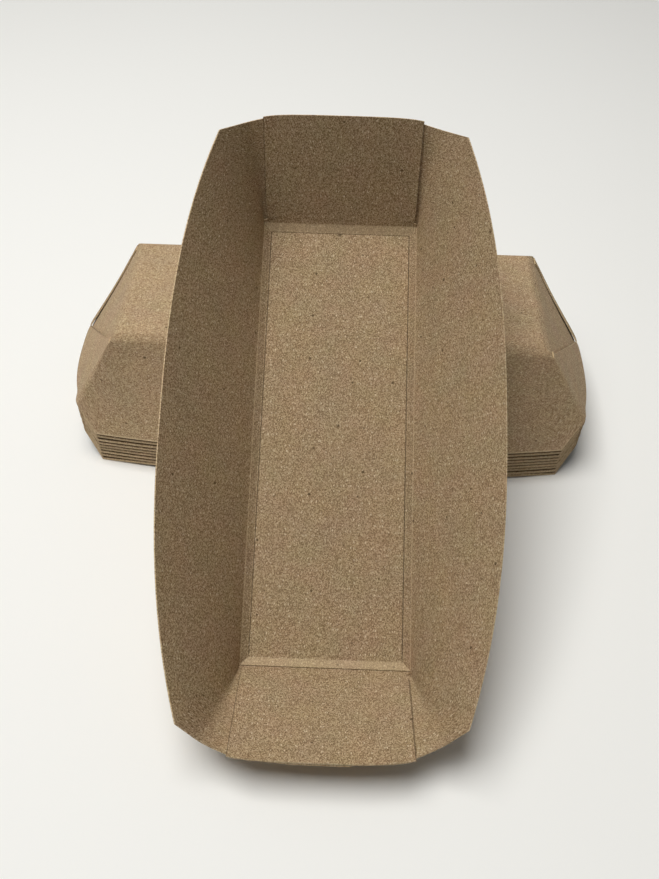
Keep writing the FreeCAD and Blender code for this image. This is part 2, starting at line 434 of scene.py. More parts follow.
@dataclass(frozen=True)
class EndShape:
    """The bowed surface on which an end panel and its gussets lie; number 0 is the +x end."""

    blank: TrayBlank
    form: TrayForm
    number: int
    bow_power: float = 2.5

    @property
    def corner_reach(self) -> float:
        """Reach of a corner's foot, one board outside the panel's foot."""
        return self.blank.band_reach + self.blank.board / math.cos(math.radians(self.form.end_angle))

    def tangent(self, across: np.ndarray) -> np.ndarray:
        """Tangent of the end's lean: the middle's, turning into the corner's as a power of across.

        Args:
            across: place across the tray, positive on the +y side.

        Returns:
            Tangent at each place.
        """
        middle = math.tan(math.radians(self.form.end_angle))
        leans = [math.tan(math.radians(side.corners[self.number].lean)) for side in self.form.sides]
        share = np.minimum(np.abs(across) / self.blank.band_half, 1.0) ** self.bow_power
        return middle + (np.where(np.asarray(across) >= 0, *leans) - middle) * share

    def reach(self, across: np.ndarray, height: np.ndarray) -> np.ndarray:
        """Reach of a glued gusset's outer face: corner reach + (height - band rise) tangent."""
        return self.corner_reach + (height - self.blank.band_rise) * self.tangent(across)


@dataclass(frozen=True)
class TraySide:
    """One long side: half the base, its band and wall, and a gusset at either end.

    Everything is worked out for a +y side and reflected for the other.
    The rim turns into its oblique cut at the share turn of the way along, the foot at
    foot_turn. The corner fold's size is measured at near_corner. Lengths are in mm.
    """

    blank: TrayBlank
    tray: TrayForm
    sign: float
    wall_columns: int = 101
    wall_rows: int = 22
    base_rows: int = 21
    rim_rows: tuple[float, ...] = (0.944, 0.955, 0.966, 0.975, 0.98, 0.99, 1.0)
    turn: float = 0.9
    foot_turn: float = 0.918
    near_corner: float = 0.985
    foot_radius: float = 0.25
    groove_width: float = 0.3

    @property
    def form(self) -> SideForm:
        """This side's own form."""
        return self.tray.sides[0 if self.sign > 0 else 1]

    @property
    def corner_reach(self) -> float:
        """Reach of the corners' feet."""
        return EndShape(self.blank, self.tray, 0).corner_reach

    def corner_point(self) -> np.ndarray:
        """Foot of the corner crease at the +x end."""
        return np.array([self.corner_reach, self.blank.band_half, self.blank.band_rise])

    def crease_tip(self, number: int) -> np.ndarray:
        """Upper end of a corner crease, reflected to the +x end."""
        tip = self.wall_points(np.array(1.0 - 2.0 * number), np.array(1.0))
        return tip * (1.0 - 2.0 * number, 1.0, 1.0)

    def side_reach(self, along: np.ndarray, height: np.ndarray) -> np.ndarray:
        """Half width of the bowed side wall.

        It is the band's half width + (height - band rise) times a slope that falls from
        the middle's to the corner's as the bow power of along / the corner's reach.

        Args:
            along: place along the tray.
            height: height above the base's underside.

        Returns:
            Half width at each place.
        """
        middle = math.tan(math.radians(self.form.middle_angle))
        corner = np.tan(np.radians(self.form.at(along, "angle")))
        climb = height - self.blank.band_rise
        reach = self.corner_reach + climb * np.tan(np.radians(self.form.at(along, "lean")))
        share = np.abs(along / reach) ** self.form.bow_power
        return self.blank.band_half + climb * (middle + (corner - middle) * share)

    def rim_line(self, station: np.ndarray) -> tuple[np.ndarray, np.ndarray]:
        """The side rim: level, then a parabola to the rim's end, then straight and oblique to the corner.

        Args:
            station: place along the rim, -1 at one corner and 1 at the other.

        Returns:
            Place along the tray and height.
        """
        form, blank, turn = self.form, self.blank, self.turn
        share = np.abs(station)
        rim_reach, rim_height = form.at(station, "rim_reach"), form.at(station, "rim_height")
        tip_height = form.at(station, "tip_height")
        reach = rim_reach * np.minimum(share / turn, 1)
        fall = np.clip((reach - blank.rim_flat) / (rim_reach - blank.rim_flat), 0, 1) ** 2
        height = form.rim_middle - (form.rim_middle - rim_height) * fall
        oblique = np.clip((share - turn) / (1 - turn), 0, 1)
        lean = np.tan(np.radians(form.at(station, "lean")))
        corner = self.corner_reach + (tip_height - blank.band_rise) * lean
        reach = reach + (corner - rim_reach) * oblique
        height = height + (tip_height - rim_height) * oblique
        return np.sign(station) * reach, height

    def foot_line(self, station: np.ndarray) -> np.ndarray:
        """Place along the foot of the wall, spread so that it stays under its rim point.

        Args:
            station: place along the rim, -1 to 1.

        Returns:
            Place along the tray.
        """
        share = np.abs(station)
        spread = np.interp(share, [0, self.turn, 1], [0, self.foot_turn, 1])
        return np.sign(station) * spread * self.corner_reach

    def wall_points(self, station: np.ndarray, rise: np.ndarray) -> np.ndarray:
        """Points of the side wall on straight lines from its foot to its rim.

        Args:
            station: place along the wall, -1 to 1.
            rise: share of the way up, 0 at the foot and 1 at the rim.

        Returns:
            Points, with the arguments' joint shape.
        """
        rim_along, rim_height = self.rim_line(station)
        foot = self.foot_line(station)
        along = foot + (rim_along - foot) * rise
        height = self.blank.band_rise + (rim_height - self.blank.band_rise) * rise
        return np.stack(np.broadcast_arrays(along, self.side_reach(along, height), height), axis=-1)

    def gusset_rim(self, number: int, share: np.ndarray) -> np.ndarray:
        """Upper edge and end cut of a gusset, reflected to the +x end.

        Args:
            number: 0 for the +x end and 1 for the other.
            share: 0 at the crease, 0.85 at the shoulder and 1 at the tip.

        Returns:
            Across and height along the edge, in the last axis.
        """
        corner = self.form.corners[number]
        gusset = corner.gusset
        wide = self.crease_tip(number)[1]
        high = self.blank.end_rim_height + gusset.rise_over
        shoulder = max(gusset.shoulder_across / wide, 0.0) ** self.tray.gusset_arc
        across = np.interp(share, [0, 0.85, 1], [wide, gusset.shoulder_across, gusset.tip_across])
        arc = np.clip(across / wide, 0, 1) ** self.tray.gusset_arc
        height = high + (corner.tip_height - high) * arc
        cut = np.interp(share, [0.85, 1], [high + (corner.tip_height - high) * shoulder, gusset.tip_height])
        return np.stack([across, np.where(share > 0.85, cut, height)], axis=-1)

    def patches(self) -> list[Patch]:
        """Make all of this side's patches.

        Returns:
            The patches, in their place.
        """
        station = np.linspace(-1, 1, self.wall_columns)
        first = 0.016 + 0.03 * (self.tray.score_bend - 0.45)
        rise = np.concatenate([[first], np.linspace(0.06, 0.93, self.wall_rows), self.rim_rows])
        near = np.array([-self.near_corner, self.near_corner])
        starts, folds = [], []
        for number in (1, 0):
            # The wall ends one fold radius short of the crease in every row
            tip = self.crease_tip(number)
            crease = self.corner_point() + rise[:, None] * (tip - self.corner_point())
            wanted = self.form.corners[number].fold_radius
            radius = self.foot_radius + (wanted - self.foot_radius) * rise
            radius = np.minimum(radius, 0.42 * rise * tip[1])
            edge = self.wall_points(near[1 - number], rise) * (1.0 - 2.0 * number, 1.0, 1.0)
            reach = np.linalg.norm(crease - edge, axis=-1) / (1 - self.near_corner)
            starts.append(radius / reach)
            folds.append((number, crease, radius))
        back, front = starts
        last = np.where(station < 0, 1 - back[:, None], 1 - front[:, None])
        size, turn = np.abs(station), self.turn
        size = np.where(size > turn, turn + (size - turn) * (last - turn) / (1 - turn), size)
        wall = self.wall_points(np.sign(station) * size, rise[:, None])
        base, across = self.base_patch(station, wall)
        patches = [base]
        for number, crease, radius in folds:
            sign = 1.0 - 2.0 * number
            wall_end = wall[:, -1 if number == 0 else 0] * (sign, 1.0, 1.0)
            patch = self.gusset_patch(number, rise, radius, crease, wall_end, across[-len(rise) :])
            patches.append(patch.reflected(sign, 1.0))
        return [patch.reflected(1.0, self.sign) for patch in patches]

    def base_patch(self, station: np.ndarray, wall: np.ndarray) -> tuple[Patch, np.ndarray]:
        """Half base, first score, band, second score and wall, in rows from the middle outwards.

        Args:
            station: the columns' places along the side.
            wall: the wall's points, lowest row first.

        Returns:
            The patch, and each row's distance from the middle line on the blank.
        """
        blank = self.blank
        steps = np.linspace(0, 1, 7)
        bend = self.tray.score_bend
        band = np.array([blank.band_side, blank.band_rise])
        slant = band / np.linalg.norm(band)
        unit = self.foot_line(station) / self.corner_reach

        def row(reach: float, across: float, height: float) -> np.ndarray:
            return np.stack(np.broadcast_arrays(unit * reach, across, height), axis=-1)

        last = blank.half_width - bend
        places = np.append(np.linspace(0, last - self.groove_width, self.base_rows), last)
        flats = [row(blank.half_length - bend, across, 0.0) for across in places]
        share = bend / np.linalg.norm(band)
        spread = self.corner_reach - blank.half_length
        low = np.array([blank.half_width, 0.0]) + slant * bend
        high = np.array([blank.band_half, blank.band_rise]) - slant * bend
        band_low = row(blank.half_length + spread * share, *low)
        band_high = row(self.corner_reach - spread * share, *high)
        first = row(blank.half_length, blank.half_width, 0.0)
        second = row(self.corner_reach, blank.band_half, blank.band_rise)
        bend_one = quadratic_bend(flats[-1], first, band_low, steps).transpose(1, 0, 2)
        bend_two = quadratic_bend(band_high, second, wall[0], steps).transpose(1, 0, 2)
        middle = (band_low + band_high) / 2
        grid = np.concatenate([np.stack(flats[:-1]), bend_one, middle[None], bend_two, wall[1:]])
        painted_light_shade = np.zeros(grid.shape[:2])
        start = len(flats) - 1
        # Painted shade at the first score. Past the second score comes a pale line, partly the creased
        # board's paler tone and partly painted highlight.
        painted_light_shade[start : start + 2] = -0.75
        painted_light_shade[start + 5 : start + 9] = -0.12
        painted_light_shade[start + 9 : start + 11] = 0.45
        painted_light_shade = painted_light_shade * self.tray.score_light_shade
        # Painted highlight along the rim and a painted shadow line a little further in, under the next tray's
        # rim
        painted_light_shade[-2:] = self.tray.rim_light
        painted_light_shade[-7:-3] = -self.tray.rim_shade
        steps_out = np.linalg.norm(np.diff(grid, axis=0), axis=-1).mean(axis=1)
        across = np.concatenate([[0], steps_out.cumsum()])
        blank_place = np.stack(np.broadcast_arrays(grid[..., 0], across[:, None]), axis=-1)
        return Patch(grid, blank_place, (0.0, 0.5, -1.0), painted_light_shade), across

    def gusset_patch(
        self, number: int, rise: np.ndarray, radius: np.ndarray, crease: np.ndarray,
        wall_end: np.ndarray, up_blank: np.ndarray,
    ) -> Patch:
        """Soft fold and gusset at the +x end.

        Each row leaves the wall's last column, bends round the crease by a Bezier curve
        and runs to the gusset's free edge. The row at a given rise is the upper edge drawn
        down towards the crease's foot, and at least three millimetres long. A loose gusset
        stands off by its gap times distance from the crease / the upper edge's length.

        Args:
            number: 0 for the +x end's corner and 1 for the other's.
            rise: share of the way up for each row.
            radius: fold radius of each row.
            crease: crease point of each row.
            wall_end: the wall's last point in each row.
            up_blank: each row's place on the blank.

        Returns:
            The patch.
        """
        foot = self.corner_point()[1:]
        gusset = self.form.corners[number].gusset
        edge = self.gusset_rim(number, np.array([0.0, 1.0]))
        width = float(np.linalg.norm(edge[1] - edge[0]))
        start = radius / (rise * width)
        unit = np.append(np.linspace(0, 0.975, 26), [0.985, 1.0])[None, :]
        share = start[:, None] + (1 - start[:, None]) * unit
        flat = foot + rise[:, None, None] * (self.gusset_rim(number, share) - foot)
        flat[..., 0] -= unit * np.maximum(3.0 - rise * width, 0)[:, None]
        distance = rise[:, None] * share * width
        far = np.clip((distance - rise[:, None] * start[:, None] * width) / width, 0, 1)
        beyond = np.clip((14.0 - flat[..., 0]) / 8.0, 0, 1)
        lift = gusset.stand_off * far + gusset.step * beyond**2 * (3 - 2 * beyond)
        angle = math.radians(self.tray.end_angle)
        end = EndShape(self.blank, self.tray, number)
        reach = end.reach(self.sign * flat[..., 0], flat[..., 1]) + lift * math.cos(angle)
        flat = np.stack([reach, flat[..., 0], flat[..., 1] - lift * math.sin(angle)], axis=-1)
        bend = quadratic_bend(wall_end, crease, flat[:, 0], np.linspace(0, 1, 10))
        grid = np.concatenate([bend, flat[:, 1:]], axis=1)
        steps_out = np.linalg.norm(np.diff(grid, axis=1), axis=-1).cumsum(axis=1)
        run = np.concatenate([np.zeros((len(rise), 1)), steps_out], axis=1)
        up = np.broadcast_to(up_blank[:, None], run.shape)
        blank_place = np.stack([wall_end[:, :1] + run, up], axis=-1)
        painted_light_shade, painted_gap_shade = np.zeros((2, *grid.shape[:2]))
        # Painted highlight or painted shade along the gusset's free edge
        painted_light_shade[:, -2:] = gusset.edge_light_shade
        # Painted shade on a loose gusset's inner face, for the dark gap between it and the end panel
        if gusset.unglued:
            painted_gap_shade[:, 14:-2] = -1.0
        return Patch(grid, blank_place, (1.0, 0.5, -0.3), painted_light_shade, painted_gap_shade)


@dataclass(frozen=True)
class FoldedTray:
    """One tray: a single scored and folded sheet with a glued gusset at each corner.

    At the share cut_climb of its height the end panel's half width is cut_half, in mm.
    """

    form: TrayForm
    blank: TrayBlank = TrayBlank()
    end_columns: int = 41
    end_rows: int = 20
    gusset_gap: float = 0.04
    cut_climb: tuple[float, ...] = (0.0, 0.02, 0.04, 0.065, 0.09, 0.14)
    cut_half: tuple[float, ...] = (24.5, 24.0, 22.9, 23.1, 23.4)
    gap_shade_inset: float = 1.2

    def end_patch(self, number: int) -> Patch:
        """Band and panel of an end, from the base's end score to the end rim, made at the +x end.

        The band's edges follow the corners' slanting lines. Above the second score the
        panel is cut in, rounds out within three millimetres and goes up at one width.

        Args:
            number: 0 for the +x end and 1 for the other.

        Returns:
            The patch, reflected to its own end.
        """
        blank = self.blank
        shape = EndShape(blank, self.form, number)
        angle = math.radians(self.form.end_angle)
        steps = np.linspace(0, 1, 7)
        inner = np.linspace(-0.965, 0.965, self.end_columns - 4)
        unit = np.concatenate([[-1, -0.985], inner, [0.985, 1]])
        band = np.array([blank.band_end, blank.band_rise])
        slant = band / np.linalg.norm(band)
        up = np.array([math.sin(angle), math.cos(angle)])
        bend = self.form.score_bend
        reach = blank.band_reach - self.gusset_gap
        base = np.array([blank.half_length - bend, 0.0])
        first = np.array([blank.half_length, 0.0])
        second = np.array([reach, blank.band_rise])
        profile_one = quadratic_bend(base, first, first + slant * bend, steps)
        profile_two = quadratic_bend(second - slant * bend, second, second + up * bend, steps)
        middle = (profile_one[-1] + profile_two[0]) / 2
        profile = np.concatenate([profile_one, middle[None], profile_two])
        reaches = [base[0], blank.half_length, reach]
        halves = [blank.half_width - bend, blank.half_width, blank.band_half]
        corner_line = np.interp(profile[:, 0], reaches, halves)[:, None] * unit
        lower = np.stack(np.broadcast_arrays(profile[:, :1], corner_line, profile[:, 1:]), axis=-1)

        climb = np.concatenate([self.cut_climb[1:5], np.linspace(0.12, 1, self.end_rows)])
        corner_high = self.form.panel_corner_height
        height = blank.end_rim_height + (corner_high - blank.end_rim_height) * np.abs(unit) ** 3
        slope = (height - blank.band_rise) / math.cos(angle) - bend
        distance = bend + climb[:, None] * slope[None, :]
        half = np.interp(climb, self.cut_climb, (*self.cut_half, blank.panel_half))
        across = half[:, None] * unit
        upright = blank.band_rise + distance * up[1]
        curl = self.form.edge_curl * np.abs(unit) ** 8 * np.minimum(climb / 0.06, 1)[:, None]
        out = reach + (upright - blank.band_rise) * shape.tangent(across) - curl
        panel = np.stack(np.broadcast_arrays(out, across, upright), axis=-1)
        grid = np.concatenate([lower, panel])
        painted_light_shade, painted_gap_shade = np.zeros((2, *grid.shape[:2]))
        # Painted shade on the panel's outer face where a loose gusset covers it, seen dark through the gap
        for sign, side in zip((1.0, -1.0), self.form.sides):
            gusset = side.corners[number].gusset
            if gusset.unglued:
                heights = [blank.band_rise, gusset.tip_height]
                free_edge = np.interp(grid[..., 2], heights, [blank.band_half, gusset.tip_across])
                painted_gap_shade[sign * grid[..., 1] > free_edge + self.gap_shade_inset] = 1.0
        # Painted highlight on the end band and painted shade at one of its scores, for how light falls on the
        # fold
        dark, pale = ((0, 2), (4, 12)) if number == 0 else ((11, 13), (2, 10))
        painted_light_shade[pale[0] : pale[1]] = 0.4
        painted_light_shade[dark[0] : dark[1]] = -0.9
        # Painted shadow line along the panel's side edges, for the shade where they meet the gussets
        painted_light_shade[len(lower) + 4 :, [0, -1]] = -0.7
        run = np.linalg.norm(np.diff(grid[:, self.end_columns // 2], axis=0), axis=-1).cumsum()
        run = np.concatenate([[0], run])
        blank_place = np.stack(np.broadcast_arrays(base[0] + run[:, None], grid[..., 1]), axis=-1)
        patch = Patch(grid, blank_place, (1.0, 0.0, -0.6), painted_light_shade * self.form.score_light_shade, painted_gap_shade)
        return patch.reflected(1.0 - 2.0 * number, 1.0)

    def build(self, name: str, placement: np.ndarray, blank_shift: tuple[float, float]) -> bpy.types.Object:
        """Make the tray's mesh object.

        Args:
            name: name of the object.
            placement: matrix from the tray's axes to the world, in mm.
            blank_shift: shift of the board's pattern, in mm.

        Returns:
            The tray.
        """
        sides = [TraySide(self.blank, self.form, sign).patches() for sign in (1.0, -1.0)]
        patches = [*sides[0], *sides[1], self.end_patch(0), self.end_patch(1)]
        return SheetMesh(self.blank.board, patches).build(name, placement, blank_shift)


@dataclass(frozen=True)
class Spots:
    """Round spots in the middle of random Voronoi cells, with a random size in each cell.

    Attributes:
        colour: sRGB hex colour.
        chosen: a cell whose random number, 0 to 1, is under this has no spot.
        small: radius at that number, as a share of the cell.
        large: radius at 1.
        edge: shares of the cell inside the radius at which the colour begins and is full.
        strength: how much of the colour covers the board.
    """

    colour: str
    chosen: float
    small: float
    large: float
    edge: tuple[float, float]
    strength: float


@dataclass(frozen=True)
class KraftPaperboard:
    """Unbleached solid kraft paperboard, uncoated, made of coarse brown pulp on a paper machine.

    To the eye it is a dull light brown with fine pale and dark fibres, a few dark specks
    of bark, slow cloudy changes of tone, and no gloss. Fibres are 1 to 3 mm long but only
    0.04 mm thick, too fine to show, so they are drawn as flecks 0.2 to 0.5 mm in size.
    Faces have three colours each: where the pulp is dark, in the middle, and pale.

    Attributes:
        fibre: length and width of the fibres that lie along the blank, in mm.
        tangle: length and width of those that lie across them, in mm.
        tangle_turn: angle of the latter, in radians.
        pulp_size: size of the clumps of pulp, in mm.
        pulp_share: how much the clumps count against the fibres.
        grain_range: sum of clumps and fibres where the board is darkest and where it is palest.
        relief: height of the grain, in mm.
        cloud_size: size of the slow changes of tone, in mm.
        fleck_scale: pale flecks for each fibre's length.
        speck_spacing: size of the cells that may hold a dark speck, in mm.
    """

    outer: tuple[str, str, str] = ("#82664A", "#AD9372", "#D6BF9C")
    # The inner face's colours are darker than the outer's: partly the board's darker inner side, partly
    # painted shade for the shade inside a tray
    inner: tuple[str, str, str] = ("#70583D", "#9D8565", "#C8B290")
    cut_edge: tuple[str, str, str] = ("#9A8261", "#CDB48E", "#DDC7A6")
    # Tints of the painted highlight and painted shade lines at scores, rims and cut edges, which stand in for
    # how light falls on them
    highlight_tint: str = "#D6C09C"
    shade_tint: str = "#3A2A18"
    # Tint of the painted shade in the gap behind a loose gusset
    gap_shade_tint: str = "#241A10"
    flecks: Spots = Spots("#E9D9BC", 0.45, -0.08, 0.2, (-0.04, 0.06), 0.65)
    specks: Spots = Spots("#4A3620", 0.72, 0.0, 0.075, (0.0, 0.02), 0.75)
    roughness: float = 0.88
    specular: float = 0.25
    fibre: tuple[float, float] = (0.5, 0.22)
    tangle: tuple[float, float] = (0.4, 0.28)
    tangle_turn: float = 0.9
    pulp_size: float = 0.3
    pulp_share: float = 0.34
    grain_range: tuple[float, float] = (0.9, 1.44)
    relief: float = 0.06
    cloud_size: float = 11.0
    cloud_share: float = 0.12
    fleck_scale: float = 0.3
    speck_spacing: float = 7.0

    def build(self, name: str, part: BoardPart) -> bpy.types.Material:
        """Make the node material for one of the board's faces or its cut edge.

        Args:
            name: name of the material.
            part: face or cut edge.

        Returns:
            The material.
        """
        material = bpy.data.materials.new(name)
        tree = empty_tree(material)
        place = add_node(tree, "UVMap", uv_map="blank")
        laid, fibres = [], []
        for turn, (length, width) in ((0.0, self.fibre), (self.tangle_turn, self.tangle)):
            turned = {"Rotation": (0, 0, turn), "Scale": (1 / length / MM, 1 / width / MM, 1.0)}
            laid.append(add_node(tree, "Mapping", {"Vector": place, **turned}))
            noise = {"Vector": laid[-1], "Scale": 1.0, "Detail": 4.0, "Roughness": 0.75, "Distortion": 0.3}
            fibres.append(add_node(tree, "TexNoise", noise, noise_dimensions="2D"))
        woven = add_node(tree, "Math", {0: fibres[0], 1: fibres[1]}, operation="ADD")
        size = 1 / self.pulp_size / MM
        pulp = add_node(tree, "TexVoronoi", {"Vector": place, "Scale": size}, voronoi_dimensions="2D")
        clump = add_node(tree, "SeparateColor", {"Color": pulp.outputs["Color"]})
        grain = add_node(tree, "Math", {0: clump, 1: self.pulp_share, 2: woven}, operation="MULTIPLY_ADD")
        low, high = self.grain_range
        tone = add_node(tree, "MapRange", {"Value": grain, "From Min": low, "From Max": high})
        ramp = add_node(tree, "ValToRGB", {"Fac": tone})
        dark, middle, light = (self.outer, self.cut_edge, self.inner)[part.value]
        stops = ramp.color_ramp.elements
        stops[0].color = linear(dark)
        stops[1].color = linear(light)
        stops.new(0.5).color = linear(middle)
        drift = {"Vector": place, "Scale": 1 / self.cloud_size / MM, "Detail": 3.0, "Roughness": 0.55}
        cloud = add_node(tree, "TexNoise", drift, noise_dimensions="2D")
        shade = {"Factor": self.cloud_share, "A": ramp, "B": cloud.outputs["Color"]}
        clouded = add_node(tree, "Mix", shade, data_type="RGBA", blend_type="MULTIPLY")
        colour = clouded.outputs["Result"]
        if part is not BoardPart.CUT_EDGE:
            layers = [
                self.spots(tree, self.flecks, laid[0], self.fleck_scale),
                self.spots(tree, self.specks, place, 1 / self.speck_spacing / MM),
            ]
            # Painted gap shade: on the outer face where the mark is positive, on the inner face where it is
            # negative
            painted_gap_shade = 0.9 if part is BoardPart.OUTER_FACE else -0.9
            # Painted highlight where the mark is positive and painted shade where it is negative
            marks = (("painted_light_shade", 0.62, self.highlight_tint), ("painted_light_shade", -1.0, self.shade_tint), ("painted_gap_shade", painted_gap_shade, self.gap_shade_tint))
            for title, factor, tint in marks:
                mark = add_node(tree, "Attribute", attribute_name=title)
                cover = {0: mark.outputs["Fac"], 1: factor}
                layers.append((add_node(tree, "Math", cover, operation="MULTIPLY", use_clamp=True), tint))
            for cover, tint in layers:
                over = {"Factor": cover, "A": colour, "B": linear(tint)}
                colour = add_node(tree, "Mix", over, data_type="RGBA").outputs["Result"]
        relief = add_node(tree, "Bump", {"Height": grain, "Strength": 0.35, "Distance": self.relief * MM})
        matt = {"Roughness": self.roughness, "Specular IOR Level": self.specular}
        shader = add_node(tree, "BsdfPrincipled", {"Base Color": colour, "Normal": relief, **matt})
        add_node(tree, "OutputMaterial", {"Surface": shader})
        return material

    def spots(
        self, tree: bpy.types.NodeTree, kind: Spots, place: bpy.types.Node, scale: float
    ) -> tuple[bpy.types.Node, str]:
        """Where spots cover the board: radius of the cell's spot - distance from its middle.

        Args:
            tree: the material's nodes.
            kind: the spots.
            place: gives the place on the blank.
            scale: cells for each unit of the place.

        Returns:
            The node that gives the cover, 0 to its strength, and the spots' colour.
        """
        cells = add_node(tree, "TexVoronoi", {"Vector": place, "Scale": scale}, voronoi_dimensions="2D")
        number = add_node(tree, "SeparateColor", {"Color": cells.outputs["Color"]})
        sizes = {"Value": number, "From Min": kind.chosen, "To Min": kind.small, "To Max": kind.large}
        radius = add_node(tree, "MapRange", sizes)
        inside = add_node(tree, "Math", {0: radius, 1: cells}, operation="SUBTRACT")
        edge = {"Value": inside, "From Min": kind.edge[0], "From Max": kind.edge[1], "To Max": kind.strength}
        return add_node(tree, "MapRange", edge, interpolation_type="SMOOTHSTEP"), kind.colour


@dataclass
class TrayStack:
    """The nine nested trays and the one that leans across them."""

    blank: TrayBlank = TrayBlank()
    count: int = 9
    middle_y: float = 48.757
    pitch: float = 1.488
    rim_height: float = 32.6
    lean_angle: float = 27.6
    lean_shift: float = 1.65
    lean_gap: float = 0.05

    def nested_form(self, number: int, rng: np.random.Generator) -> TrayForm:
        """The form of one nested tray; the uppermost one's back gussets have come unglued.

        Args:
            number: 1 for the lowest tray.
            rng: source of the small differences between trays.

        Returns:
            The form.
        """
        top = number == self.count
        level = (number - 1) / (self.count - 1)
        long_gusset = Gusset(-7.4, -8.6, 26.3, stand_off=0.45, edge_light_shade=0.7)
        loose_gusset = Gusset(12.2, 8.6, 26.6, rise_over=0.5, stand_off=0.6)
        rim_reach = 76.3 + rng.uniform(-0.3, 0.3)
        rim_height = 32.45 + rng.uniform(-0.12, 0.12)
        gusset = long_gusset if top else Gusset()
        right = CornerForm(17.6 + 0.9 * (1 - level), 34.0, 23.1, rim_reach, rim_height, gusset=gusset)
        left_reach = 76.6 + rng.uniform(-0.3, 0.3)
        # Painted shade on the left front gusset's free edge, against the painted highlight on the right one's
        left_gusset = replace(right.gusset, edge_light_shade=-0.9 if top else 0.0)
        left = replace(right, lean=32.8, tip_height=23.3, rim_reach=left_reach, gusset=left_gusset)
        back_gusset = loose_gusset if top else replace(loose_gusset, stand_off=0.25)
        back = replace(right, angle=6.0, lean=31.0, gusset=back_gusset)
        slipped = replace(back_gusset, stand_off=0.8 * back_gusset.stand_off, rise_over=1.5 if top else 0.5)
        back_left = replace(back, gusset=slipped)
        spread = 33.0 + 1.0 * (1 - level) + rng.uniform(-0.15, 0.15)
        rim_middle = 31.1 if number > 1 else 30.5
        sides = (SideForm(spread, 2.0, (right, left), rim_middle), SideForm(32.6, 2.2, (back, back_left)))
        # Painted rim highlight on every nested tray; painted shadow line under the next rim on all but the
        # uppermost
        return TrayForm(36.2, sides, rim_light=0.8, rim_shade=0.0 if top else 0.9)

    def leaning_form(self) -> TrayForm:
        """The form of the leaning tray, whose walls have sprung further.

        Returns:
            The form.
        """
        under = Gusset(shoulder_across=-7.4, tip_across=-8.6, tip_height=26.0, rise_over=-0.5)
        over = replace(under, step=0.44)
        far_left = CornerForm(5.6, 39.6, 25.6, 79.5, 34.3, fold_radius=5.0, gusset=over)
        far_right = CornerForm(6.0, 39.6, 25.1, 79.2, 34.5, fold_radius=5.0, gusset=under)
        near_left = CornerForm(11.5, 39.2, 24.2, 80.6, 33.0, fold_radius=6.5, gusset=over)
        near_right = CornerForm(12.7, 38.4, 23.4, 79.7, 32.1, fold_radius=6.5, gusset=under)
        sides = (SideForm(34.5, 2.6, (far_left, near_left)), SideForm(34.5, 2.6, (far_right, near_right)))
        form = TrayForm(39.2, sides, score_light_shade=1.0, score_bend=0.45)
        return replace(form, panel_corner_height=27.2, edge_curl=0.45, gusset_arc=4.0)

    def nested_place(self, number: int, rng: np.random.Generator) -> np.ndarray:
        """Matrix that lays a tray upside down at its level, a little off true.

        Args:
            number: 1 for the lowest tray.
            rng: source of the small shifts.

        Returns:
            Four by four matrix, in mm.
        """
        turn = math.radians(rng.uniform(-0.08, 0.08))
        shift = rng.uniform(-0.12, 0.12, 2)
        place = Matrix.Rotation(turn, 4, "Z") @ Matrix.Rotation(math.pi, 4, "X")
        matrix = np.array(place)
        matrix[:3, 3] = (shift[0], self.middle_y + shift[1], self.rim_height + (number - 1) * self.pitch)
        return matrix

    def leaning_place(self) -> np.ndarray:
        """Place the leaning tray: near base edge on the table, underside on the stack's front edge.

        Returns:
            Four by four matrix, in mm.
        """
        slope = math.radians(self.lean_angle)
        sine, cosine = math.sin(slope), math.cos(slope)
        stack_height = self.rim_height + (self.count - 1) * self.pitch
        centre_height = self.blank.half_length * sine
        drop = stack_height + self.lean_gap / cosine - centre_height
        centre_y = self.middle_y - self.blank.half_width - drop / math.tan(slope)
        return np.array([
            [0.0, -1.0, 0.0, self.lean_shift],
            [cosine, 0.0, -sine, centre_y],
            [sine, 0.0, cosine, centre_height],
            [0.0, 0.0, 0.0, 1.0],
        ])

    def build(self, materials: dict[BoardPart, bpy.types.Material]) -> list[bpy.types.Object]:
        """Build all the trays, dress them and let them stand for their solids.

        Args:
            materials: a material for each part of the board.

        Returns:
            The trays.
        """
        rng = np.random.default_rng(41)
        trays = []
        for number in range(1, self.count + 1):
            tray = FoldedTray(self.nested_form(number, rng))
            place = self.nested_place(number, rng)
            blank_shift = tuple(rng.uniform(-400, 400, 2))
            piece = tray.build("nested_board_tray_%d" % number, place, blank_shift)
            trays.append((piece, "nested_tray_%d" % number))
        tray = FoldedTray(self.leaning_form())
        trays.append((tray.build("leaning_board_tray", self.leaning_place(), (137.0, 61.0)), "leaning_tray"))
        for piece, node in trays:
            for part in BoardPart:
                piece.data.materials[part.value] = materials[part]
            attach(piece, "root")
            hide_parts(node)
            LOG.info("%s: %d faces", piece.name, len(piece.data.polygons))
        return [piece for piece, _ in trays]


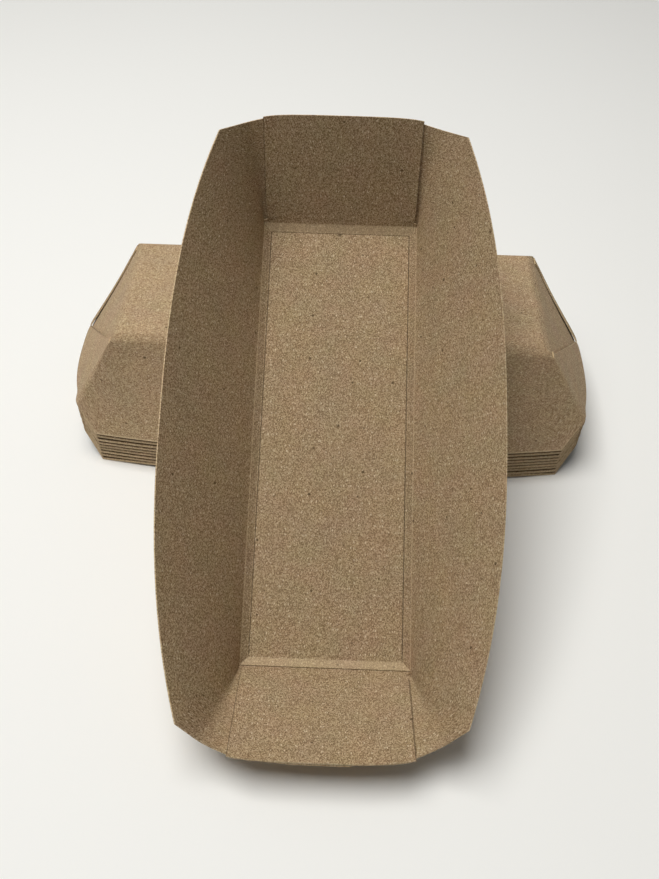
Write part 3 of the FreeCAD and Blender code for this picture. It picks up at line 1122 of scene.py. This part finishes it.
@dataclass(frozen=True)
class Studio:
    """Pale floor, soft light from the upper left and the camera at the photograph's angle."""

    focal_pixels: float = 836.2
    image_height: int = 879
    sensor_height: float = 24.0
    camera_place: tuple[float, float, float] = (3.415, -163.119, 223.054)
    camera_right: tuple[float, float, float] = (0.99936, 0.03326, 0.01319)
    camera_forward: tuple[float, float, float] = (-0.01121, 0.64117, -0.76732)
    floor_colour: str = "#F6F6F3"
    backdrop_colour: str = "#ECECE8"
    key_place: tuple[float, float, float] = (-0.2, 0.03, 0.88)
    key_size: float = 0.55
    key_power: float = 7.6
    key_colour: tuple[float, float, float] = (1.0, 0.99, 0.97)
    sky_colour: str = "#F6F6F4"
    sky_strength: float = 0.25
    near_sky_strength: float = 0.02
    table_fade: tuple[float, float] = (0.4, 1.1)

    def add_camera(self) -> None:
        """Add the camera and make it the scene's."""
        data = bpy.data.cameras.new("camera")
        data.sensor_fit = "VERTICAL"
        data.sensor_height = self.sensor_height
        data.lens = self.focal_pixels * self.sensor_height / self.image_height
        data.clip_start = 0.01
        data.clip_end = 20.0
        camera = add_object("camera", data)
        forward = np.array(self.camera_forward) / np.linalg.norm(self.camera_forward)
        right = np.array(self.camera_right) - forward * np.dot(self.camera_right, forward)
        right = right / np.linalg.norm(right)
        camera.matrix_world = aim(right, -forward, np.array(self.camera_place) * MM)
        bpy.context.scene.camera = camera

    def looked_at(self, tree: bpy.types.NodeTree) -> bpy.types.Node:
        """Tell what the camera sees, straight or in a shiny or a clear thing.

        Args:
            tree: node tree that asks.

        Returns:
            A node that gives 1 for it, else 0.
        """
        ray = add_node(tree, "LightPath")
        seen = ray.outputs["Is Camera Ray"]
        for kind in ("Is Glossy Ray", "Is Transmission Ray"):
            seen = add_node(tree, "Math", {0: seen, 1: ray.outputs[kind]}, operation="MAXIMUM")
        return seen

    def add_floor(self) -> None:
        """Add the table top, a wide pale sheet of matt laminate, which fades into the backdrop far away."""
        material = bpy.data.materials.new("pale_matt_table")
        tree = empty_tree(material)
        look = {"Base Color": linear(self.floor_colour), "Roughness": 0.75, "Specular IOR Level": 0.2}
        shader = add_node(tree, "BsdfPrincipled", look)
        place = add_node(tree, "NewGeometry")
        distance = add_node(tree, "VectorMath", {0: place.outputs["Position"]}, operation="LENGTH")
        near, far = self.table_fade
        edge = {"Value": distance.outputs["Value"], "From Min": near, "From Max": far}
        fade = add_node(tree, "MapRange", edge, interpolation_type="SMOOTHSTEP")
        share = add_node(tree, "Math", {0: self.looked_at(tree), 1: fade}, operation="MULTIPLY")
        backdrop = add_node(tree, "Emission", {"Color": linear(self.backdrop_colour)})
        mixed = add_node(tree, "MixShader", {0: share, 1: shader, 2: backdrop})
        add_node(tree, "OutputMaterial", {"Surface": mixed})
        mesh = bpy.data.meshes.new("table_top")
        mesh.from_pydata([(-3, -3, 0), (3, -3, 0), (3, 3, 0), (-3, 3, 0)], [], [(0, 1, 2, 3)])
        mesh.materials.append(material)
        floor = add_object("table_top", mesh)

    def add_light(self) -> None:
        """Add one soft lamp at the upper left and a pale surround that is dim on the near side."""
        data = bpy.data.lights.new("window_light", "AREA")
        data.shape = "SQUARE"
        data.size = self.key_size
        data.energy = self.key_power
        data.color = self.key_colour
        lamp = add_object("window_light", data)
        place = np.array(self.key_place)
        back = place / np.linalg.norm(place)
        right = np.cross([0.0, 0.0, 1.0], back)
        lamp.matrix_world = aim(right / np.linalg.norm(right), back, place)
        world = bpy.data.worlds.new("surround")
        tree = empty_tree(world)
        direction = add_node(tree, "TexCoord")
        axes = add_node(tree, "SeparateXYZ", {"Vector": direction.outputs["Generated"]})
        span = {"Value": axes.outputs["Y"], "From Min": -0.7, "From Max": 0.5}
        dim = {"To Min": self.near_sky_strength, "To Max": self.sky_strength}
        strength = add_node(tree, "MapRange", {**span, **dim}, interpolation_type="SMOOTHSTEP")
        surround = add_node(tree, "Background", {"Color": linear(self.sky_colour), "Strength": strength})
        backdrop = add_node(tree, "Background", {"Color": linear(self.backdrop_colour)})
        both = add_node(tree, "MixShader", {0: self.looked_at(tree), 1: surround, 2: backdrop})
        add_node(tree, "OutputWorld", {"Surface": both})
        bpy.context.scene.world = world

    def build(self) -> None:
        """Set up the camera, floor and light."""
        self.add_camera()
        self.add_floor()
        self.add_light()
        bpy.context.scene.view_settings.view_transform = "Standard"


def main() -> None:
    """Load the frame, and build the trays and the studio."""
    logging.basicConfig(level=logging.INFO, format="%(name)s: %(message)s")
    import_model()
    board = KraftPaperboard()
    materials = {part: board.build("kraft_paperboard_" + part.name.lower(), part) for part in BoardPart}
    TrayStack().build(materials)
    Studio().build()
    bpy.context.view_layer.update()


if __name__ == "__main__":
    main()
